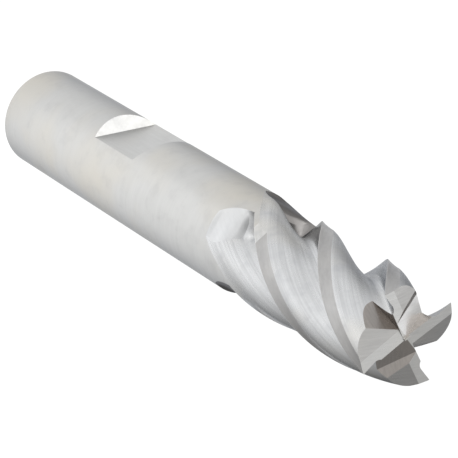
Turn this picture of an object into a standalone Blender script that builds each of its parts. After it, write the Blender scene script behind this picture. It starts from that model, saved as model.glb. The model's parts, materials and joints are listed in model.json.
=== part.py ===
"""End mill: high speed steel, four flutes, right hand cut and right hand helix, centre
cutting, one Weldon flat on the shank.

The tool stands on its shank end.  The origin is the centre of that end, +Z runs along
the axis to the cutting end, and the Weldon flat faces -Y.  Lengths are in metres.
"""
import math

import bmesh
import bpy
from mathutils import Matrix, Vector

# ---- driving dimensions ---------------------------------------------------------------
CUTTER_DIA = 0.009525        # 3/8 in, shank and cutter
OVERALL = 0.0635             # 2-1/2 in
CUT_LENGTH = 0.01905         # 3/4 in of relieved edge
FLUTES = 4
FIRST_TOOTH_DEG = 207.7      # a long tooth's corner, seen from the cutting end, from +X
HELIX_DEG = 36.3

CHAMFER = 0.0006             # shank end
WELD_Z = 0.034               # the shank bar meets the cutting end here
WELD_GAP = 0.0003

FLAT_CENTRE = 0.01984        # Weldon flat: 25/32 in from the shank end
FLAT_LENGTH = 0.00711
FLAT_ACROSS = 0.008255       # flat floor to the far side of the shank
FLAT_WALL_DEG = 57.0         # slope of its two end walls

# ---- flutes and relief ----------------------------------------------------------------
FLUTE_LENGTH = 0.0248        # from the tips
TWIST_LENGTH = 0.0212        # behind this the wheel leaves the helix
LIFT_LENGTH = 0.0202         # and behind this it rises out of the blank
WHEEL_RADIUS = 0.0056        # of that rise, along the axis
LIFT_DIR_DEG = 36.0          # direction of that rise, ahead of the rake edge
CORE_RATIO = 0.54            # core radius over cutter radius
FILLET_RATIO = 0.20          # flute bottom fillet over cutter radius
RAKE_DEG = 6.0
LAND_DEG = 16.0              # width of the relieved land
LAND_DROP_RATIO = 0.038      # its heel below the cutting circle
MARGIN_DEG = 1.2             # circular margin left at the edge

# ---- end teeth ------------------------------------------------------------------------
DISH_DEG = 2.0
END_PRIMARY_DEG = 7.0
END_SECONDARY_DEG = 20.0
END_PRIMARY_WIDTH = {"long": 0.00103, "short": 0.00095}
EDGE_AHEAD = {"long": 0.00008, "short": 0.00026}      # of the axis
GASH_DEPTH_RATIO = {"long": 0.04, "short": -0.19}     # floor under the tips, at the axis
GASH_FALL = {"long": 0.39, "short": 1.37}             # of the floor, per unit outward
GASH_TILT = {"long": 0.0, "short": -0.86}             # of the floor, per unit ahead
GASH_WIDTH = 0.0017          # floor of the long tooth's gash
GASH_SIDE_DEG = 33.0         # its far side

# ---- resolution -----------------------------------------------------------------------
FACETS = 64
STATIONS = 34
FILLET_STEPS = 4
BACK_STEPS = 5
SLIVER = 0.000004            # cut edges shorter than this are closed up

RADIUS = CUTTER_DIA / 2
TWIST = math.tan(math.radians(HELIX_DEG)) / RADIUS     # radians per metre
OVERRUN = 0.0015             # cutters run past the tips
UP = Vector((0, 0, 1))


def collection(name):
    made = bpy.data.collections.new(name)
    bpy.context.scene.collection.children.link(made)
    return made


def steel(name, colour, roughness):
    made = bpy.data.materials.new(name)
    made.use_nodes = True
    shader = made.node_tree.nodes["Principled BSDF"]
    shader.inputs["Base Color"].default_value = (*colour, 1)
    shader.inputs["Metallic"].default_value = 1.0
    shader.inputs["Roughness"].default_value = roughness
    return made


def polar(radius, degrees):
    angle = math.radians(degrees)
    return Vector((radius * math.cos(angle), radius * math.sin(angle)))


def add_object(name, bm, home):
    bmesh.ops.recalc_face_normals(bm, faces=bm.faces)
    mesh = bpy.data.meshes.new(name)
    bm.to_mesh(mesh)
    bm.free()
    obj = bpy.data.objects.new(name, mesh)
    home.objects.link(obj)
    return obj


def add_cutter(name, bm, home):
    obj = add_object(name, bm, home)
    obj.hide_render = True
    obj.display_type = 'WIRE'
    return obj


def turned(name, profile, home):
    """A (radius, z) outline, top to bottom, spun round Z by a Screw modifier."""
    bm = bmesh.new()
    verts = [bm.verts.new((radius, 0, z)) for radius, z in profile]
    for a, b in zip(verts, verts[1:]):
        bm.edges.new((a, b))
    obj = add_object(name, bm, home)
    spin = obj.modifiers.new("spin", 'SCREW')
    spin.steps = spin.render_steps = FACETS
    spin.use_merge_vertices = True
    spin.merge_threshold = 0.000001
    return obj


def subtract(target, home):
    """Take every cutter of one collection away from the target."""
    cut = target.modifiers.new(home.name, 'BOOLEAN')
    cut.operation = 'DIFFERENCE'
    cut.solver = 'EXACT'
    cut.operand_type = 'COLLECTION'
    cut.collection = home


def half_spaces(name, planes, height, home):
    """Convex cutter: a block kept on the inner side of each (point, outward normal)."""
    bm = bmesh.new()
    bmesh.ops.create_cube(bm, size=5 * RADIUS, matrix=Matrix.Translation(UP * height))
    for point, normal in planes:
        cut = bmesh.ops.bisect_plane(bm, geom=bm.verts[:] + bm.edges[:] + bm.faces[:],
                                     plane_co=point, plane_no=normal, clear_outer=True)
        rim = [e for e in cut["geom_cut"] if isinstance(e, bmesh.types.BMEdge)]
        bmesh.ops.holes_fill(bm, edges=rim, sides=0)
    return add_cutter(name, bm, home)


def upward(normal):
    return normal.normalized() * (1 if normal.z > 0 else -1)


# ---- flutes ---------------------------------------------------------------------------
def flute_profile():
    """Space between two teeth: the rake tooth's corner is at angle 0 and the next tooth
    ahead of it.  Rake line, bottom fillet, straight back touching the core, round heel."""
    rake = math.radians(RAKE_DEG)
    core = CORE_RATIO * RADIUS
    fillet = FILLET_RATIO * RADIUS
    inward = Vector((-math.cos(rake), -math.sin(rake)))
    into_flute = Vector((inward.y, -inward.x))
    corner = Vector((RADIUS, 0))
    run = (corner.x + into_flute.x * fillet - core - fillet) / -inward.x
    centre = corner + inward * run + into_flute * fillet
    outline = [corner - inward * 0.2 * RADIUS, corner]
    first = math.degrees(math.atan2(-into_flute.y, -into_flute.x))
    for i in range(FILLET_STEPS + 1):
        outline.append(centre + polar(fillet, first + (-180 - first) * i / FILLET_STEPS))
    # the back is one Bezier span from the core line to the heel
    heel = polar(0.978 * RADIUS, 89.0 - LAND_DEG)
    span = (Vector((core, 0.40 * RADIUS)), Vector((1.01 * core, 0.64 * RADIUS)),
            Vector((0.44, 0.84)) * RADIUS, heel)
    for i in range(BACK_STEPS + 1):
        t = i / BACK_STEPS
        weights = ((1 - t) ** 3, 3 * t * (1 - t) ** 2, 3 * t * t * (1 - t), t ** 3)
        outline.append(sum((p * w for p, w in zip(span, weights)), Vector((0, 0))))
    outline.append(heel * 1.30)
    outline.append(Vector((1.15, 1.15)) * RADIUS)
    return outline


def relief_profile():
    """Thin wedge outside one land, from the margin to past the heel."""
    edge = polar(RADIUS, -MARGIN_DEG)
    heel = polar(RADIUS * (1 - LAND_DROP_RATIO), -LAND_DEG)
    run = (heel - edge).normalized() * RADIUS
    return [edge - run * 0.06, heel + run * 0.10, (heel + run * 0.10) * 1.16,
            (edge - run * 0.06) * 1.16]


def wheel_lift(z):
    """How far the grinding wheel has left the blank at this height."""
    back = min(max(OVERALL - LIFT_LENGTH - z, 0.0), WHEEL_RADIUS)
    return WHEEL_RADIUS - math.sqrt(WHEEL_RADIUS ** 2 - back ** 2)


def swept(name, profile, tooth_deg, z_from, home, lifts=False):
    """Loft of one section along the helix up past the tips.  With lifts, it stops
    twisting behind TWIST_LENGTH and rises out of the blank behind LIFT_LENGTH."""
    bm = bmesh.new()
    rings = []
    z_to = OVERALL + OVERRUN
    for k in range(STATIONS + 1):
        z = z_from + (z_to - z_from) * k / STATIONS
        turned_z = max(z, OVERALL - TWIST_LENGTH) if lifts else z
        shift = polar(wheel_lift(z), LIFT_DIR_DEG) if lifts else Vector((0, 0))
        spin = Matrix.Rotation(math.radians(tooth_deg) + (turned_z - OVERALL) * TWIST, 2)
        rings.append([bm.verts.new((*(spin @ (p + shift)), z)) for p in profile])
    count = len(profile)
    for low, high in zip(rings, rings[1:]):
        for i in range(count):
            j = (i + 1) % count
            bm.faces.new((low[i], low[j], high[j], high[i]))
    bm.faces.new(rings[0])
    bm.faces.new(rings[-1])
    return add_cutter(name, bm, home)


# ---- end teeth ------------------------------------------------------------------------
def end_teeth():
    """Each tooth: kind, outward and ahead directions, corner, edge and its square."""
    teeth = []
    for i in range(FLUTES):
        kind = "long" if i % 2 == 0 else "short"
        out = polar(1, FIRST_TOOTH_DEG + 360 / FLUTES * i).to_3d()
        ahead = UP.cross(out)
        corner = out * RADIUS + UP * OVERALL
        inner = ahead * EDGE_AHEAD[kind] + UP * (OVERALL - math.tan(math.radians(DISH_DEG)) * RADIUS)
        edge = (corner - inner).normalized()
        square = UP.cross(edge).normalized()
        teeth.append((kind, out, ahead, corner, edge, square))
    return teeth


def relieve_end(teeth, home):
    """Primary and secondary relief, each kept behind its own edge and ahead of the next."""
    for i, (kind, _, _, corner, edge, square) in enumerate(teeth):
        *_, next_corner, _, next_square = teeth[i - 1]
        stop = (next_corner + next_square * 0.00001, -next_square)
        start = corner + square * 0.000012
        for name, degrees in (("primary", END_PRIMARY_DEG), ("secondary", END_SECONDARY_DEG)):
            angle = math.radians(degrees)
            fall = -square * math.cos(angle) - UP * math.sin(angle)
            normal = upward(fall.cross(edge))
            half_spaces(name, [(start, -normal), (start, square), stop], OVERALL, home)
            start = corner + fall * END_PRIMARY_WIDTH[kind]


def gash_end(teeth, home):
    """A gash ahead of each edge: upright wall, falling floor and, on the long teeth,
    a far side that climbs back to the short tooth."""
    for kind, out, ahead, corner, _, square in teeth:
        floor = UP * (OVERALL - GASH_DEPTH_RATIO[kind] * RADIUS)
        normal = upward(out * GASH_FALL[kind] + ahead * GASH_TILT[kind] + UP)
        planes = [(corner, -square), (floor, -normal)]
        if kind == "long":
            side = math.radians(GASH_SIDE_DEG)
            slope = (out - UP * GASH_FALL[kind]).normalized()
            climb = ahead * math.cos(side) + UP * math.sin(side)
            planes.append((floor + ahead * GASH_WIDTH, -upward(slope.cross(climb))))
        half_spaces("gash", planes, OVERALL, home)


# ---- the tool -------------------------------------------------------------------------
for old in list(bpy.data.objects):
    bpy.data.objects.remove(old, do_unlink=True)

end_mill = collection("end_mill")
flat_cutters = collection("flat_cutters")
flute_cutters = collection("flute_cutters")
relief_cutters = collection("relief_cutters")
end_cutters = collection("end_cutters")

# shank bar with its chamfered end
weld_low = WELD_Z - WELD_GAP / 2
weld_high = WELD_Z + WELD_GAP / 2
shank = turned("shank", [(0, weld_low), (RADIUS, weld_low), (RADIUS, CHAMFER),
                         (RADIUS - CHAMFER, 0), (0, 0)], end_mill)
shank.data.materials.append(steel("shank_steel", (0.62, 0.62, 0.61), 0.42))

# Weldon flat
flat_floor = RADIUS - FLAT_ACROSS
wall = math.radians(FLAT_WALL_DEG)
flat_planes = [(Vector((0, flat_floor, 0)), Vector((0, 1, 0)))]
for side in (-1, 1):
    rim = Vector((0, flat_floor, FLAT_CENTRE + side * FLAT_LENGTH / 2))
    flat_planes.append((rim, Vector((0, math.cos(wall), side * math.sin(wall)))))
half_spaces("weldon_flat", flat_planes, FLAT_CENTRE, flat_cutters)
subtract(shank, flat_cutters)

# fluted end
cutting_end = turned("cutting_end", [(0, OVERALL), (RADIUS, OVERALL), (RADIUS, weld_high),
                                     (0, weld_high)], end_mill)
cutting_end.data.materials.append(steel("cutter_steel", (0.66, 0.66, 0.65), 0.36))

for i in range(FLUTES):
    tooth_deg = FIRST_TOOTH_DEG + 360 / FLUTES * i
    flute_end = OVERALL - FLUTE_LENGTH - 0.00035
    swept("flute", flute_profile(), tooth_deg, flute_end, flute_cutters, lifts=True)
    swept("land_relief", relief_profile(), tooth_deg, OVERALL - CUT_LENGTH, relief_cutters)

teeth = end_teeth()
relieve_end(teeth, end_cutters)
gash_end(teeth, end_cutters)
for cutters in (flute_cutters, relief_cutters, end_cutters):
    subtract(cutting_end, cutters)
weld = cutting_end.modifiers.new("close_slivers", 'WELD')
weld.merge_threshold = SLIVER

for piece in (shank, cutting_end):
    piece.data.shade_smooth()
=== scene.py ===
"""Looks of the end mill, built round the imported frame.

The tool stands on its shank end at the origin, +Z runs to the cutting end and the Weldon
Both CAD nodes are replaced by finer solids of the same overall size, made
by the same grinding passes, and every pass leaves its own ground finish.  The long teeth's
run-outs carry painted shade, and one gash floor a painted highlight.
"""
import json
import math
from collections import namedtuple

import bmesh
import bpy
from mathutils import Matrix, Vector


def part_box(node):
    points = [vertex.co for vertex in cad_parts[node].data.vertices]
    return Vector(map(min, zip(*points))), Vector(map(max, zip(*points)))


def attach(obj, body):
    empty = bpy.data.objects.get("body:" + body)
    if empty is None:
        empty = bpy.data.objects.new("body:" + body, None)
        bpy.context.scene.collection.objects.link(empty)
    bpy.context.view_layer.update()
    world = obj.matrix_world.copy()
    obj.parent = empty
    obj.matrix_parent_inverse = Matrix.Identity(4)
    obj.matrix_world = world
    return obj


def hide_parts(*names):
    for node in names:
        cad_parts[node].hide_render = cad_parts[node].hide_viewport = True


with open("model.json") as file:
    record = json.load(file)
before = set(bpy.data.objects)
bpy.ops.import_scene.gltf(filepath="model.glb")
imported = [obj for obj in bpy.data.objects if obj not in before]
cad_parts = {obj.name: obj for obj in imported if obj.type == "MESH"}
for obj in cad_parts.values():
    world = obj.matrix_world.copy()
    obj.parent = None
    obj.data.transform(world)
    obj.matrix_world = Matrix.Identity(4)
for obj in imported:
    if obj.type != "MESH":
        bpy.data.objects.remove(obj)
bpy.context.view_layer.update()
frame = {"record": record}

# ---- dimensions read from the frame ---------------------------------------------------
_, shank_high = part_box("shank")
cutter_low, cutter_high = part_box("cutting_end")
mounts = {m["name"]: m for m in frame["record"]["mounts"]}
flat_at = Vector(mounts["weldon_flat"]["pos_m"])

RADIUS = shank_high.x
OVERALL = cutter_high.z
JOIN_Z = (shank_high.z + cutter_low.z) / 2     # middle of the gap left at the weld
FLAT_FLOOR_Y = flat_at.y
FLAT_CENTRE = flat_at.z

# ---- dimensions of the grinding passes (metres, degrees) -------------------------------
CHAMFER = 0.0006             # shank end
FLAT_LENGTH = 0.00711        # Weldon flat
FLAT_WALL_DEG = 57.0         # slope of its two end walls

FLUTES = 4
FIRST_TOOTH_DEG = 207.7      # a long tooth's corner, seen from the cutting end, from +X
HELIX_DEG = 36.3
FLUTE_LENGTH = 0.02475       # from the tips, run-out included
RUN_OUT_LENGTH = 0.00375     # where the flute closes
RUN_OUT_EDGE_DEG = 52.0      # how far its edge turns back against the helix
RUN_OUT_CORNER = 0.30        # first share of it, where the flute's bottom flattens
RUN_OUT_BULGE = 0.12         # last share of it, where the flat face fills out to the blank
BACK_KEPT = 0.2              # first share of it, where the back of the tooth ahead is whole
BACK_COVERED = 0.965         # share of that back which is covered at the end of it
CORE_RATIO = 0.54            # core radius over cutter radius
CORE_REACH = 0.40            # where the flute's front meets its back, over cutter radius
FILLET_RATIO = 0.16          # flute bottom fillet over cutter radius
RAKE_DEG = 6.0
LAND_DEG = 17.0              # width of the relieved land
LAND_DROP_RATIO = 0.042      # its heel below the cutting circle
MARGIN_DEG = 1.0             # circular margin left at the edge
RELIEF_START = 0.0193        # from the tips: the land's relief begins here
RELIEF_FULL = 0.0178         # and is full from here on

DISH_DEG = 2.0
END_PRIMARY_DEG = 7.0
END_SECONDARY_DEG = 20.0
END_PRIMARY_WIDTH = {"long": 0.00103, "short": 0.00095}
EDGE_AHEAD = {"long": 0.00008, "short": 0.00026}      # of the axis
GASH_DEPTH_RATIO = {"long": 0.04, "short": -0.19}     # floor under the tips, at the axis
GASH_FALL = {"long": 0.45, "short": 1.37}             # of the floor, per unit outward
GASH_TILT = {"long": 0.0, "short": -0.86}             # of the floor, per unit ahead
GASH_WIDTH = 0.0017          # floor of the long tooth's gash
GASH_SIDE_DEG = 33.0         # its far side
RELIEF_AHEAD = 0.000012      # end reliefs start this far ahead of their own edge
RELIEF_STOP = 0.00001        # and stop this far ahead of the next one

# ---- where the finishes, the painted shade and the painted highlight go ---------------
BODY_FINISHES = ("plain", "flute", "land", "short_run_out", "long_run_out")
RUN_OUT_FINISH = {"long": 1.20, "short": 0.88}        # its length over RUN_OUT_LENGTH; on the long teeth, the reach of the painted shade
HIGHLIGHTED_GASH = 0              # the tooth whose gash floor has a painted highlight
END_GRAIN_DEG = 62.0         # direction of the end's wheel lines, from the first tooth

# ---- resolution -----------------------------------------------------------------------
FACETS = 256
CURVE_SAMPLES = 60
FRONT_POINTS = 36
BACK_POINTS = 30
BACK_SAMPLES = 400           # along the back, before BACK_POINTS are picked from the rest
LAND_POINTS = 12
RUN_OUT_STATIONS = 70
HELIX_STATIONS = 150
SLIVER = 0.000002            # edges shorter than this are closed up
CREASE_DEG = 6.5             # sharper edges than this stay sharp

# ---- studio: a lobe is (azimuth, elevation, tightness, strength) ------------------------
FLOOR_RADIUS = 3.0
FLOOR_GLOW = 0.98            # glow of the painted pool of light round the tool
FLOOR_GLOW_LIFT = 0.18            # painted extra light added to it on one side of the tool
FLOOR_GLOW_LIFT_DEG = 18.0        # azimuth of that side
FLOOR_GLOW_LIFT_BETWEEN = (0.001, 0.008)     # it comes in between these distances that way
FLOOR_FAR_GLOW = 0.12        # glow beyond the painted pool of light
FLOOR_FAR_LOBES = ((262, 0, 1.6, 0.6), (10, 0, 3.0, 0.3), (330, 0, 5.0, 0.45))
# the painted pool of light is two discs, each (centre, where it starts to fade, where it ends)
LIGHT_POOL_DISCS = (((-0.024, 0.014, 0), 0.0445, 0.056), ((0, 0, 0), 0.038, 0.052))

SKY_TONE = 0.19
SKY_LEAST = 0.04
SKY_LOBES = ((210, 36, 4.0, 0.45), (283, 13, 2.0, 0.70), (8, 16, 8.0, 0.65),
             (263, 29, 1.0, 0.25), (158, 43, 8.0, 0.15), (172, 23, 9.0, 0.62),
             (196, 8, 7.0, -0.65))

SOFTBOX_SIZE = 0.42
SOFTBOX_WATTS = 0.42
SOFTBOX_FROM = (226.0, 38.0)     # azimuth and elevation
SOFTBOX_DISTANCE = 0.6

CAMERA_AT = (0.1290986, -0.1015767, 0.2553230)
CAMERA_TURN_DEG = (-21.3106, -30.6358, 179.2351)
CAMERA_LENS_MM = 243.98

TWIST = math.tan(math.radians(HELIX_DEG)) / RADIUS     # radians per metre
UP = Vector((0, 0, 1))


def polar(radius, degrees):
    angle = math.radians(degrees)
    return Vector((radius * math.cos(angle), radius * math.sin(angle)))


# ---- node helpers ---------------------------------------------------------------------
class Nodes:
    """Short-hand for the node tree of a material or a world."""

    def __init__(self, owner, shader):
        owner.use_nodes = True
        self.tree = owner.node_tree
        self.shader = self.tree.nodes[shader]

    def add(self, kind, **settings):
        """A new node, with its settings."""
        node = self.tree.nodes.new(kind)
        for key, value in settings.items():
            setattr(node, key, value)
        return node

    def link(self, source, target):
        self.tree.links.new(source, target)

    def feed(self, target, value):
        """A socket is linked, anything else is stored as the target's own value."""
        if isinstance(value, bpy.types.NodeSocket):
            self.link(value, target)
        else:
            target.default_value = value

    def math(self, operation, *values):
        node = self.add("ShaderNodeMath", operation=operation)
        for socket, value in zip(node.inputs, values):
            self.feed(socket, value)
        return node.outputs[0]

    def spread(self, value, low, high, to_low, to_high):
        """The value's place between low and high, carried over to the other range."""
        node = self.add("ShaderNodeMapRange", clamp=True)
        for socket, given in zip(node.inputs, (value, low, high, to_low, to_high)):
            self.feed(socket, given)
        return node.outputs[0]

    def add_up(self, values):
        """Sum of a number or socket and any number of sockets."""
        total, *others = values
        for value in others:
            total = self.math('ADD', value, total)
        return total

    def position(self):
        return self.add("ShaderNodeTexCoord").outputs["Object"]

    def stretched(self, vector, scale):
        node = self.add("ShaderNodeVectorMath", operation='MULTIPLY')
        self.link(vector, node.inputs[0])
        node.inputs[1].default_value = scale
        return node.outputs[0]

    def noise(self, vector, scale, detail, roughness):
        node = self.add("ShaderNodeTexNoise")
        self.link(vector, node.inputs["Vector"])
        node.inputs["Scale"].default_value = scale
        node.inputs["Detail"].default_value = detail
        node.inputs["Roughness"].default_value = roughness
        return node.outputs[0]

    def mix_colour(self, factor, a, b):
        node = self.add("ShaderNodeMix", data_type='RGBA')
        self.feed(node.inputs[0], factor)
        self.feed(node.inputs[6], a)
        self.feed(node.inputs[7], b)
        return node.outputs[2]

    def untwisted(self, vector):
        """Position turned back along the helix, so that streaks in it follow the flutes."""
        split = self.add("ShaderNodeSeparateXYZ")
        self.link(vector, split.inputs[0])
        angle = self.math('MULTIPLY', split.outputs[2], -TWIST)
        turn = self.add("ShaderNodeVectorRotate", rotation_type='Z_AXIS')
        self.link(vector, turn.inputs["Vector"])
        self.link(angle, turn.inputs["Angle"])
        return turn.outputs[0]

    def along(self, vector, degrees):
        """Position turned about Z, so that streaks can follow a direction on the end."""
        turn = self.add("ShaderNodeVectorRotate", rotation_type='Z_AXIS')
        self.link(vector, turn.inputs["Vector"])
        turn.inputs["Angle"].default_value = math.radians(-degrees)
        return turn.outputs[0]


def ground_steel(name, tone, grain, grain_scale, roughness=0.34, line_depth=0.25,
                 contrast=1.0, warm=0.35, wear=0.28, edge=0.62):
    """Ground steel.  grain(nodes, position) gives the coordinates that the wheel lines
    follow, and grain_scale how they stretch in them.  contrast is between the lines, warm
    and wear are the amounts of beige and of dull patches, and edge is the tint at
    grazing angles."""
    material = bpy.data.materials.new(name)
    nodes = Nodes(material, "Principled BSDF")
    shader = nodes.shader
    shader.inputs["Metallic"].default_value = 1.0
    shader.inputs["Specular Tint"].default_value = (edge, edge + 0.01, edge + 0.03, 1)

    position = nodes.position()
    lined = nodes.stretched(grain(nodes, position), grain_scale)
    fine = nodes.noise(lined, 1.0, 3.0, 0.6)
    coarse = nodes.noise(lined, 0.27, 2.0, 0.5)
    lines = nodes.add_up([nodes.math('MULTIPLY', coarse, 0.35), nodes.math('MULTIPLY', fine, 0.65)])

    blotch = nodes.noise(position, 650.0, 4.0, 0.6)
    cloud = nodes.noise(position, 130.0, 2.0, 0.5)

    bright = tuple(min(1.0, c * (1 + 0.07 * contrast)) for c in tone)
    dull = tuple(c * (1 - 0.10 * contrast) for c in tone)
    by_lines = nodes.mix_colour(nodes.spread(lines, 0.30, 0.70, 0.0, 1.0), (*dull, 1), (*bright, 1))
    warm_tone = (tone[0] * 1.03, tone[1] * 0.995, tone[2] * 0.93, 1)
    warmth = nodes.spread(cloud, 0.45, 0.70, 0.0, warm)
    coloured = nodes.mix_colour(warmth, by_lines, warm_tone)
    worn = nodes.mix_colour(nodes.spread(blotch, 0.52, 0.80, 0.0, wear), coloured,
                            (tone[0] * 0.70, tone[1] * 0.70, tone[2] * 0.72, 1))
    nodes.link(worn, shader.inputs["Base Color"])

    varied = nodes.add_up([nodes.spread(lines, 0.3, 0.7, 0.03, -0.03),
                           nodes.spread(blotch, 0.3, 0.7, roughness - 0.04, roughness + 0.05)])
    nodes.link(varied, shader.inputs["Roughness"])

    bump = nodes.add("ShaderNodeBump")
    bump.inputs["Strength"].default_value = line_depth
    bump.inputs["Distance"].default_value = 0.00002
    nodes.link(lines, bump.inputs["Height"])
    nodes.link(bump.outputs[0], shader.inputs["Normal"])
    return material


# ---- solids ---------------------------------------------------------------------------
work = bpy.data.collections.new("work")
bpy.context.scene.collection.children.link(work)


def add_object(name, bm, material=None):
    """The mesh as an object of the work collection; bm is used up."""
    bmesh.ops.recalc_face_normals(bm, faces=bm.faces)
    mesh = bpy.data.meshes.new(name)
    bm.to_mesh(mesh)
    bm.free()
    if material:
        mesh.materials.append(material)
    obj = bpy.data.objects.new(name, mesh)
    work.objects.link(obj)
    return obj


def to_scene(obj):
    """Out of the work collection and into the scene."""
    work.objects.unlink(obj)
    bpy.context.scene.collection.objects.link(obj)


def turned(name, profile, material):
    """Solid of revolution of (radius, z) corners, with capped ends."""
    bm = bmesh.new()
    rings = []
    for radius, z in profile:
        rings.append([bm.verts.new((*polar(radius, 360 * i / FACETS), z)) for i in range(FACETS)])
    for low, high in zip(rings, rings[1:]):
        for i in range(FACETS):
            j = (i + 1) % FACETS
            bm.faces.new((low[i], low[j], high[j], high[i]))
    bm.faces.new(rings[0])
    bm.faces.new(rings[-1])
    return add_object(name, bm, material)


def half_spaces(name, planes, height, material, floor=None):
    """Convex cutter: a block kept on the inner side of each (point, outward normal).
    floor is the (normal, material) of the faces that have a material of their own."""
    bm = bmesh.new()
    bmesh.ops.create_cube(bm, size=5 * RADIUS, matrix=Matrix.Translation(UP * height))
    for point, normal in planes:
        cut = bmesh.ops.bisect_plane(bm, geom=bm.verts[:] + bm.edges[:] + bm.faces[:],
                                     plane_co=point, plane_no=normal, clear_outer=True)
        rim = [e for e in cut["geom_cut"] if isinstance(e, bmesh.types.BMEdge)]
        bmesh.ops.holes_fill(bm, edges=rim, sides=0)
    cutter = add_object(name, bm, material)
    if floor:
        cutter.data.materials.append(floor[1])
        for face in cutter.data.polygons:
            face.material_index = int(abs(face.normal.dot(floor[0])) > 0.9999)
    return cutter


def upward(normal):
    """The unit normal, turned to point up."""
    return normal.normalized() * (1 if normal.z > 0 else -1)


def carve(target, cutters):
    """Subtract the cutters; each cut face takes its cutter's material."""
    passes = bpy.data.collections.new("passes")
    work.children.link(passes)
    for cutter in cutters:
        work.objects.unlink(cutter)
        passes.objects.link(cutter)
    cut = target.modifiers.new("passes", 'BOOLEAN')
    cut.operation = 'DIFFERENCE'
    cut.solver = 'EXACT'
    cut.material_mode = 'TRANSFER'
    cut.operand_type = 'COLLECTION'
    cut.collection = passes
    graph = bpy.context.evaluated_depsgraph_get()
    mesh = bpy.data.meshes.new_from_object(target.evaluated_get(graph))
    target.modifiers.clear()
    target.data = mesh
    for cutter in cutters:
        bpy.data.objects.remove(cutter, do_unlink=True)
    bpy.data.collections.remove(passes)


# ---- shank ----------------------------------------------------------------------------
def shank_bar(name, material, flat_material):
    """Bar with a chamfered end, less its Weldon flat."""
    wall = math.radians(FLAT_WALL_DEG)
    planes = [(Vector((0, FLAT_FLOOR_Y, 0)), Vector((0, 1, 0)))]
    for side in (1, -1):
        rim = Vector((0, FLAT_FLOOR_Y, FLAT_CENTRE + side * FLAT_LENGTH / 2))
        planes.append((rim, Vector((0, math.cos(wall), side * math.sin(wall)))))
    flat = half_spaces("weldon_flat", planes, FLAT_CENTRE, flat_material)
    bar = turned(name, [(RADIUS - CHAMFER, 0), (RADIUS, CHAMFER), (RADIUS, JOIN_Z)], material)
    carve(bar, [flat])
    return bar


# ---- fluted body ----------------------------------------------------------------------
def spaced(chain, count):
    """The chain of points resampled at equal steps."""
    reach = [0.0]
    for p, q in zip(chain, chain[1:]):
        reach.append(reach[-1] + (q - p).length)
    points = []
    k = 0
    for i in range(count):
        want = reach[-1] * i / (count - 1)
        while k < len(chain) - 2 and reach[k + 1] < want:
            k += 1
        share = (want - reach[k]) / max(reach[k + 1] - reach[k], 1e-12)
        points.append(chain[k].lerp(chain[k + 1], min(share, 1.0)))
    return points


def flute_front():
    """Rake line from the cutting edge, at angle 0, and the fillet round to the core."""
    rake = math.radians(RAKE_DEG)
    core = CORE_RATIO * RADIUS
    fillet = FILLET_RATIO * RADIUS
    inward = Vector((-math.cos(rake), -math.sin(rake)))
    into_flute = Vector((inward.y, -inward.x))
    corner = Vector((RADIUS, 0))
    run = (corner.x + into_flute.x * fillet - core - fillet) / -inward.x
    centre = corner + inward * run + into_flute * fillet
    first = math.degrees(math.atan2(-into_flute.y, -into_flute.x))
    outline = [corner]
    for i in range(CURVE_SAMPLES + 1):
        outline.append(centre + polar(fillet, first + (-180 - first) * i / CURVE_SAMPLES))
    outline.append(Vector((core, CORE_REACH * RADIUS)))
    return spaced(outline, FRONT_POINTS)


def flute_back():
    """Back of the tooth ahead: one Bezier span from the core line to the heel of its land,
    and a straight line on from there to well outside the blank."""
    core = CORE_RATIO * RADIUS
    heel = polar((1 - LAND_DROP_RATIO) * RADIUS, 90 - LAND_DEG)
    span = (Vector((core, CORE_REACH * RADIUS)), Vector((1.01 * core, 0.64 * RADIUS)),
            Vector((0.45, 0.83)) * RADIUS, heel)
    outline = []
    for i in range(CURVE_SAMPLES + 1):
        t = i / CURVE_SAMPLES
        weights = ((1 - t) ** 3, 3 * t * (1 - t) ** 2, 3 * t * t * (1 - t), t ** 3)
        outline.append(sum((p * w for p, w in zip(span, weights)), Vector((0, 0))))
    on = (span[3] - span[2]).normalized()
    outline += [heel + on * RADIUS * 0.02 * i for i in range(1, 16)]
    return outline


def land_radius(degrees, edge_deg, z):
    """Radius, at this angle and height, of the land behind the cutting edge at edge_deg."""
    if degrees > edge_deg - MARGIN_DEG:
        return RADIUS
    edge = polar(RADIUS, edge_deg - MARGIN_DEG)
    heel = polar(RADIUS * (1 - LAND_DROP_RATIO), edge_deg - LAND_DEG)
    run = (heel - edge).normalized()
    relieved = min(run.cross(edge) / run.cross(polar(1, degrees)), RADIUS)
    amount = (z - OVERALL + RELIEF_START) / (RELIEF_START - RELIEF_FULL)
    return RADIUS - (RADIUS - relieved) * clamped(amount)


def clamped(share):
    return min(max(share, 0.0), 1.0)


def eased(share):
    """0 to 1 with a soft start and a soft end."""
    share = clamped(share)
    return share * share * (3 - 2 * share)


def angle_of(p):
    return math.degrees(math.atan2(p.y, p.x))


def cut_at_land(chain, edge_deg, z):
    """The chain up to the point where it meets the land."""
    kept = [chain[0]]
    for a, b in zip(chain, chain[1:]):
        if b.length > land_radius(angle_of(b), edge_deg, z):
            for _ in range(40):
                middle = (a + b) / 2
                if middle.length > land_radius(angle_of(middle), edge_deg, z):
                    b = middle
                else:
                    a = middle
            kept.append((a + b) / 2)
            return kept
        kept.append(b)
    return kept


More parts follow.
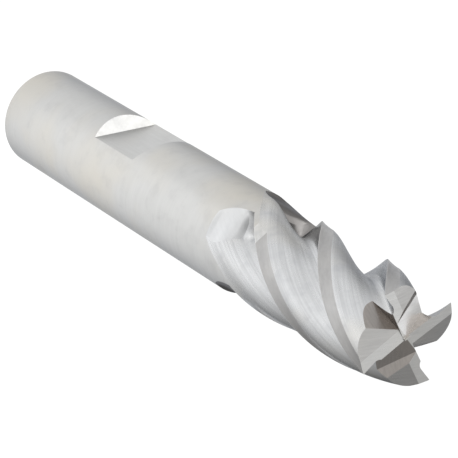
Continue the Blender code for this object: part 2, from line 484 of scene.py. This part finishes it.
def section(front, back, z):
    """One tooth pitch at height z: the front of the flute, its back and the land ahead.
    In the run-out, one flat face takes the front's place, covers the back from the
    bottom up and fills out to the blank at its end."""
    share = clamped((OVERALL - z - FLUTE_LENGTH + RUN_OUT_LENGTH) / RUN_OUT_LENGTH)
    edge_deg = RUN_OUT_EDGE_DEG * (0.75 * share + 0.25 * share ** 3)
    chain = cut_at_land(back, 90 + edge_deg, z)
    covered = BACK_COVERED * (1 - (1 - max(share - BACK_KEPT, 0.0) / (1 - BACK_KEPT)) ** 1.9)
    fine = spaced(chain, BACK_SAMPLES)
    first = min(int(covered * (BACK_SAMPLES - 1)), BACK_SAMPLES - 3)
    back_part = spaced(fine[first:], BACK_POINTS)

    old_start, old_end = front[0], front[-1]
    old = old_end - old_start
    old_in = Vector((-old.y, old.x)).normalized()
    new_start, new_end = polar(RADIUS, edge_deg), back_part[0]
    new = new_end - new_start
    new_in = Vector((-new.y, new.x)).normalized()
    flatter = eased(share / RUN_OUT_CORNER)
    fuller = eased((share - 1 + RUN_OUT_BULGE) / RUN_OUT_BULGE)
    points = []
    for p in front:
        along = (p - old_start).dot(old) / old.length_squared
        inset = (p - old_start).dot(old_in) / old.length * new.length
        bow = 4 * along * (1 - along) * new.length_squared / (8 * RADIUS)
        points.append(new_start + new * along + new_in * (inset * (1 - flatter) - bow * fuller))
    points += back_part[1:]

    low, high = angle_of(points[-1]), 90 + edge_deg
    margin = high - MARGIN_DEG
    angles = [low + (margin - low) * i / LAND_POINTS for i in range(1, LAND_POINTS + 1)]
    angles.append((margin + high) / 2)
    return points + [polar(land_radius(a, high, z), a) for a in angles]


def tooth_kind(tooth):
    """Long teeth reach the axis, and short ones stand between them."""
    return "long" if tooth % 2 == 0 else "short"


def body_finish(kind, place, low_z, high_z):
    """Finish of one face of the body: place counts along the section, from the edge of a
    tooth of this kind, and the face lies between two heights.  On the long teeth the
    run-out's finish is painted shade."""
    start = OVERALL - FLUTE_LENGTH
    if low_z < start:
        return "plain"
    if place < FRONT_POINTS - 1 and high_z < start + RUN_OUT_FINISH[kind] * RUN_OUT_LENGTH:
        return f"{kind}_run_out"
    if place < FRONT_POINTS + BACK_POINTS - 2:
        return "flute"
    if high_z < OVERALL - RELIEF_START:
        return "plain"
    return "land" if low_z > OVERALL - RELIEF_FULL else "flute"


def fluted_body(name, materials):
    """Bar with four helical flutes, lofted from one section turned and repeated."""
    front, back = flute_front(), flute_back()
    start = OVERALL - FLUTE_LENGTH
    full = start + RUN_OUT_LENGTH
    heights = [JOIN_Z]
    heights += [start + RUN_OUT_LENGTH * i / RUN_OUT_STATIONS for i in range(RUN_OUT_STATIONS)]
    heights += [full + (OVERALL - full) * i / HELIX_STATIONS for i in range(HELIX_STATIONS + 1)]

    bm = bmesh.new()
    rings = []
    for z in heights:
        points = section(front, back, max(z, start))
        if z <= start:
            points = [p.normalized() * RADIUS for p in points]
        turn = math.radians(FIRST_TOOTH_DEG) + (max(z, start) - OVERALL) * TWIST
        ring = []
        for tooth in range(FLUTES):
            spin = Matrix.Rotation(turn + math.tau * tooth / FLUTES, 2)
            ring += [bm.verts.new((*(spin @ p), z)) for p in points]
        rings.append(ring)
    count = len(rings[0])
    for k, (below, above) in enumerate(zip(rings, rings[1:])):
        for i in range(count):
            j = (i + 1) % count
            face = bm.faces.new((below[i], below[j], above[j], above[i]))
            tooth, place = divmod(i, count // FLUTES)
            finish = body_finish(tooth_kind(tooth), place, heights[k], heights[k + 1])
            face.material_index = BODY_FINISHES.index(finish)
    bm.faces.new(rings[0])
    bm.faces.new(rings[-1])
    body = add_object(name, bm)
    for finish in BODY_FINISHES:
        body.data.materials.append(materials[finish])
    return body


# ---- end teeth ------------------------------------------------------------------------
Tooth = namedtuple("Tooth", "kind out ahead corner edge square")


def end_teeth():
    """Each end tooth: its directions outward and ahead, its corner, and the directions
    along its edge and square to it."""
    teeth = []
    for i in range(FLUTES):
        kind = tooth_kind(i)
        out = polar(1, FIRST_TOOTH_DEG + 360 / FLUTES * i).to_3d()
        ahead = UP.cross(out)
        corner = out * RADIUS + UP * OVERALL
        inner = ahead * EDGE_AHEAD[kind] + UP * (OVERALL - math.tan(math.radians(DISH_DEG)) * RADIUS)
        edge = (corner - inner).normalized()
        teeth.append(Tooth(kind, out, ahead, corner, edge, UP.cross(edge).normalized()))
    return teeth


def end_reliefs(teeth, materials):
    """Primary and secondary relief, each kept behind its own edge and ahead of the next."""
    cutters = []
    for i, tooth in enumerate(teeth):
        behind = teeth[i - 1]
        stop = (behind.corner + behind.square * RELIEF_STOP, -behind.square)
        start = tooth.corner + tooth.square * RELIEF_AHEAD
        for name, degrees in (("primary", END_PRIMARY_DEG), ("secondary", END_SECONDARY_DEG)):
            angle = math.radians(degrees)
            fall = -tooth.square * math.cos(angle) - UP * math.sin(angle)
            normal = upward(fall.cross(tooth.edge))
            planes = [(start, -normal), (start, tooth.square), stop]
            cutters.append(half_spaces(name, planes, OVERALL, materials[name]))
            start = tooth.corner + fall * END_PRIMARY_WIDTH[tooth.kind]
    return cutters


def gashes(teeth, material, highlight_floor_material):
    """A gash ahead of each edge: upright wall, falling floor and, on the long teeth,
    a far side that climbs back to the short tooth.  One gash's floor gets a painted highlight."""
    cutters = []
    for i, tooth in enumerate(teeth):
        fall = GASH_FALL[tooth.kind]
        floor = UP * (OVERALL - GASH_DEPTH_RATIO[tooth.kind] * RADIUS)
        normal = upward(tooth.out * fall + tooth.ahead * GASH_TILT[tooth.kind] + UP)
        planes = [(tooth.corner, -tooth.square), (floor, -normal)]
        if tooth.kind == "long":
            side = math.radians(GASH_SIDE_DEG)
            slope = (tooth.out - UP * fall).normalized()
            climb = tooth.ahead * math.cos(side) + UP * math.sin(side)
            planes.append((floor + tooth.ahead * GASH_WIDTH, -upward(slope.cross(climb))))
        # painted highlight on this one tooth's gash floor
        bright = (normal, highlight_floor_material) if i == HIGHLIGHTED_GASH else None
        cutters.append(half_spaces("gash", planes, OVERALL, material, bright))
    return cutters


def finish_solid(obj, cad_node):
    """Clean, shade, move to the scene and hand the piece to the frame."""
    bm = bmesh.new()
    bm.from_mesh(obj.data)
    bmesh.ops.remove_doubles(bm, verts=bm.verts, dist=SLIVER)
    bmesh.ops.dissolve_degenerate(bm, dist=SLIVER, edges=bm.edges)
    bm.to_mesh(obj.data)
    bm.free()
    obj.data.shade_smooth()
    obj.data.set_sharp_from_angle(angle=math.radians(CREASE_DEG))
    to_scene(obj)
    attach(obj, "root")
    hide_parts(cad_node)


# ---- materials ------------------------------------------------------------------------
def plain_grain(nodes, position):
    """Wheel lines along or round the tool, as the grain scale stretches them."""
    return position


def helix_grain(nodes, position):
    """Wheel lines along the flutes."""
    return nodes.untwisted(position)


def end_grain(nodes, position):
    """Wheel lines across the end teeth."""
    return nodes.along(position, FIRST_TOOTH_DEG + END_GRAIN_DEG)


shank_steel = ground_steel("shank_ground", (0.645, 0.645, 0.635), plain_grain, (300, 300, 5200),
                           roughness=0.33, line_depth=0.05, contrast=0.25, warm=1.0, wear=0.25, edge=0.38)
flat_steel = ground_steel("flat_ground", (0.66, 0.66, 0.65), plain_grain, (5200, 5200, 300),
                          roughness=0.36, line_depth=0.10, contrast=0.5, wear=0.2)
flute_steel = ground_steel("flute_ground", (0.76, 0.77, 0.78), helix_grain, (6200, 6200, 130),
                           roughness=0.28, line_depth=0.5, contrast=1.9, warm=1.1, wear=0.55, edge=0.34)
land_steel = ground_steel("land_ground", (0.55, 0.545, 0.54), helix_grain, (3600, 3600, 1400),
                          roughness=0.34, line_depth=0.20)
run_out_steel = ground_steel("run_out_ground", (0.78, 0.79, 0.80), helix_grain, (2600, 2600, 300),
                             roughness=0.36, line_depth=0.08, contrast=0.5, wear=0.2)
# painted shade: a dark copy of the run-out steel, for the long teeth's run-out faces
shaded_run_out_steel = ground_steel("run_out_painted_shade", (0.31, 0.30, 0.295), helix_grain, (2600, 2600, 300),
                                  roughness=0.32, line_depth=0.08, contrast=0.8, wear=0.35, edge=0.3)
end_steel = ground_steel("end_ground", (0.70, 0.70, 0.69), end_grain, (7000, 420, 420),
                         roughness=0.30, line_depth=0.25)
end_back_steel = ground_steel("end_back_ground", (0.55, 0.545, 0.535), end_grain, (6500, 420, 420),
                              roughness=0.30, line_depth=0.3, contrast=1.4)
gash_steel = ground_steel("gash_ground", (0.44, 0.41, 0.385), end_grain, (900, 6500, 900),
                          roughness=0.30, line_depth=0.30, contrast=1.6)
# painted highlight: a bright copy of the gash steel, for one gash floor only
highlight_gash_floor_steel = ground_steel("gash_floor_painted_highlight", (0.88, 0.88, 0.88), end_grain, (5200, 600, 600),
                                roughness=0.30, line_depth=0.25, contrast=1.0, warm=0.1, wear=0.08)

# ---- studio pieces --------------------------------------------------------------------
def lobe(nodes, direction, azimuth_deg, elevation_deg, tightness, strength):
    """Soft light from one side of the studio, as a function of direction."""
    elevation = math.radians(elevation_deg)
    dot = nodes.add("ShaderNodeVectorMath", operation='DOT_PRODUCT')
    nodes.link(direction, dot.inputs[0])
    dot.inputs[1].default_value = (*polar(math.cos(elevation), azimuth_deg), math.sin(elevation))
    falloff = nodes.math('MULTIPLY', nodes.math('SUBTRACT', dot.outputs["Value"], 1.0), tightness)
    return nodes.math('MULTIPLY', nodes.math('EXPONENT', falloff), strength)


def light_painted_paper():
    """Matt floor that glows with painted light: a bright pool under the tool, brighter
    on one side, dimmer and uneven further out, which is what the steel reflects."""
    material = bpy.data.materials.new("light_painted_paper")
    nodes = Nodes(material, "Principled BSDF")
    nodes.shader.inputs["Base Color"].default_value = (0.1, 0.1, 0.1, 1)
    nodes.shader.inputs["Roughness"].default_value = 0.9
    nodes.shader.inputs["Specular IOR Level"].default_value = 0.0
    nodes.shader.inputs["Emission Color"].default_value = (1, 1, 1, 1)
    place = nodes.position()

    outside = 1.0
    # painted pool of light: the glow is full inside the discs and fades out past them
    for centre, inner, outer in LIGHT_POOL_DISCS:
        reach = nodes.add("ShaderNodeVectorMath", operation='DISTANCE')
        nodes.link(place, reach.inputs[0])
        reach.inputs[1].default_value = centre
        share = nodes.spread(reach.outputs["Value"], inner, outer, 0.0, 1.0)
        outside = nodes.math('MULTIPLY', share, outside)

    heading = nodes.add("ShaderNodeVectorMath", operation='NORMALIZE')
    nodes.link(place, heading.inputs[0])
    lobes = [lobe(nodes, heading.outputs[0], *side) for side in FLOOR_FAR_LOBES]
    far_part = nodes.math('MULTIPLY', outside, nodes.add_up([FLOOR_FAR_GLOW, *lobes]))

    # painted light: the glow rises on one side of the tool, near it
    lit_side = nodes.add("ShaderNodeVectorMath", operation='DOT_PRODUCT')
    nodes.link(place, lit_side.inputs[0])
    lit_side.inputs[1].default_value = (*polar(1, FLOOR_GLOW_LIFT_DEG), 0)
    near_glow = nodes.spread(lit_side.outputs["Value"], *FLOOR_GLOW_LIFT_BETWEEN,
                             FLOOR_GLOW, FLOOR_GLOW + FLOOR_GLOW_LIFT)
    near_part = nodes.math('MULTIPLY', nodes.math('SUBTRACT', 1.0, outside), near_glow)
    nodes.link(nodes.add_up([near_part, far_part]), nodes.shader.inputs["Emission Strength"])
    return material


def add_floor():
    """The plain disc that the tool stands on; its glow is painted light."""
    bm = bmesh.new()
    bmesh.ops.create_circle(bm, cap_ends=True, segments=96, radius=FLOOR_RADIUS)
    floor = add_object("floor", bm, light_painted_paper())
    to_scene(floor)


def add_sky():
    """Even light with a few soft lobes and one dark flag, the lobe of negative strength."""
    world = bpy.data.worlds.new("studio")
    bpy.context.scene.world = world
    nodes = Nodes(world, "Background")
    direction = nodes.add("ShaderNodeTexCoord").outputs["Generated"]
    total = nodes.add_up([SKY_TONE, *(lobe(nodes, direction, *side) for side in SKY_LOBES)])
    nodes.link(nodes.math('MAXIMUM', total, SKY_LEAST), nodes.shader.inputs["Strength"])
    nodes.shader.inputs["Color"].default_value = (1, 1, 1, 1)


def add_softbox():
    data = bpy.data.lights.new("softbox", 'AREA')
    data.size = SOFTBOX_SIZE
    data.energy = SOFTBOX_WATTS
    softbox = bpy.data.objects.new("softbox", data)
    bpy.context.scene.collection.objects.link(softbox)
    azimuth, elevation = SOFTBOX_FROM
    height = math.radians(elevation)
    toward = Vector((*polar(math.cos(height), azimuth), math.sin(height)))
    softbox.location = UP * OVERALL / 2 + toward * SOFTBOX_DISTANCE
    softbox.rotation_euler = (-toward).to_track_quat('-Z', 'Y').to_euler()


def add_camera():
    data = bpy.data.cameras.new("camera")
    data.sensor_width = 36.0
    data.lens = CAMERA_LENS_MM
    data.clip_start = 0.01
    data.clip_end = 20.0
    camera = bpy.data.objects.new("camera", data)
    camera.location = CAMERA_AT
    camera.rotation_mode = 'XYZ'
    camera.rotation_euler = [math.radians(a) for a in CAMERA_TURN_DEG]
    bpy.context.scene.collection.objects.link(camera)
    bpy.context.scene.camera = camera


# ---- the tool -------------------------------------------------------------------------
shank = shank_bar("shank_bar", shank_steel, flat_steel)
finish_solid(shank, "shank")

# the long teeth's run-out faces get the painted shade
fluted_end = fluted_body("fluted_end", {
    "plain": shank_steel, "flute": flute_steel, "land": land_steel,
    "short_run_out": run_out_steel, "long_run_out": shaded_run_out_steel})
teeth = end_teeth()
reliefs = end_reliefs(teeth, {"primary": end_steel, "secondary": end_back_steel})
carve(fluted_end, reliefs + gashes(teeth, gash_steel, highlight_gash_floor_steel))
finish_solid(fluted_end, "cutting_end")

# ---- the studio -----------------------------------------------------------------------
add_floor()
add_sky()
add_softbox()
add_camera()
bpy.context.scene.view_settings.view_transform = 'Standard'

bpy.data.collections.remove(work)
bpy.context.view_layer.update()
